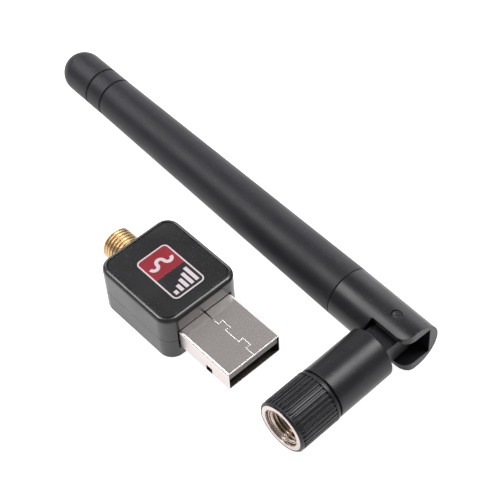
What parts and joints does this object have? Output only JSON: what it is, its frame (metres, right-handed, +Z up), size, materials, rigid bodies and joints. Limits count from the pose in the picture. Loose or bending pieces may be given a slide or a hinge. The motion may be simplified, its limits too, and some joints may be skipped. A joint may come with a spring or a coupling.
{
  "type": "usb wifi adapter",
  "caption": "Short USB-A wifi dongle with a gold antenna jack, and its screw-on swivel antenna lying unscrewed beside it with the elbow bent square.",
  "frame": {"origin": "centre of the dongle's flat underside, on the surface it lies on", "axes": "+Z up from that surface; the USB plug points along -Y and the antenna jack along +Y; the loose antenna lies on the +X side"},
  "size_m": [0.0368, 0.0991, 0.0109],
  "materials": {
    "black_gloss_plastic": "gloss",
    "black_label": "gloss",
    "black_satin_plastic": "satin",
    "black_rubber": "satin",
    "plated_steel": "satin",
    "gold_plate": "satin",
    "nickel_plate": "polished",
    "brass": "satin",
    "grey_plastic": "satin",
    "white_insulator": "satin",
    "board_laminate": "satin",
    "chip_epoxy": "satin",
    "component_ceramic": "satin",
    "red_silicone": "satin"
  },
  "bodies": {
    "dongle": {"lower_shell": "black_gloss_plastic", "upper_shell": "black_gloss_plastic", "label_panel": "black_label", "usb_shell": "plated_steel", "usb_tongue": "grey_plastic", "usb_contact_1": "gold_plate", "usb_contact_2": "gold_plate", "usb_contact_3": "gold_plate", "usb_contact_4": "gold_plate", "circuit_board": "board_laminate", "wifi_chip": "chip_epoxy", "memory_chip": "chip_epoxy", "crystal": "plated_steel", "regulator": "chip_epoxy", "status_led": "white_insulator", "power_inductor": "component_ceramic", "capacitor_1": "component_ceramic", "capacitor_2": "component_ceramic", "capacitor_3": "component_ceramic", "antenna_filter": "component_ceramic", "rf_jack_body": "gold_plate", "rf_jack_insulator": "white_insulator", "rf_jack_pin": "gold_plate"},
    "antenna_base": {"base_body": "black_satin_plastic", "rf_plug_body": "nickel_plate", "retaining_ring": "plated_steel", "plug_gasket": "red_silicone", "rf_plug_insulator": "white_insulator", "rf_plug_contact": "gold_plate", "base_coax": "black_satin_plastic"},
    "coupling_nut": {"coupling_nut_grip": "black_satin_plastic", "coupling_nut_insert": "nickel_plate"},
    "whip": {"elbow_fork": "black_satin_plastic", "pivot_pin_upper": "black_satin_plastic", "pivot_pin_lower": "black_satin_plastic", "whip_cover": "black_rubber", "whip_coax": "black_satin_plastic", "radiator_sleeve": "brass", "sleeve_spacer": "white_insulator", "radiator_wire": "brass", "tip_spacer": "white_insulator"}
  },
  "joints": [
    {"name": "antenna_slide", "type": "slide", "parent": "dongle", "child": "antenna_base", "axis": [1, 0, 0], "range_m": [0, 0.06]},
    {"name": "elbow_tilt", "type": "hinge", "parent": "antenna_base", "child": "whip", "pos_m": [0.02176, -0.03444, 0.00512], "axis": [-0.0001, 0.0104, 0.9999], "range_deg": [-87.65, 2.35]},
    {"name": "coupling_nut_spin", "type": "hinge", "parent": "antenna_base", "child": "coupling_nut", "pos_m": [-0.00124, -0.03476, 0.00512], "axis": [-0.9999, -0.014, 0], "continuous": true}
  ]
}
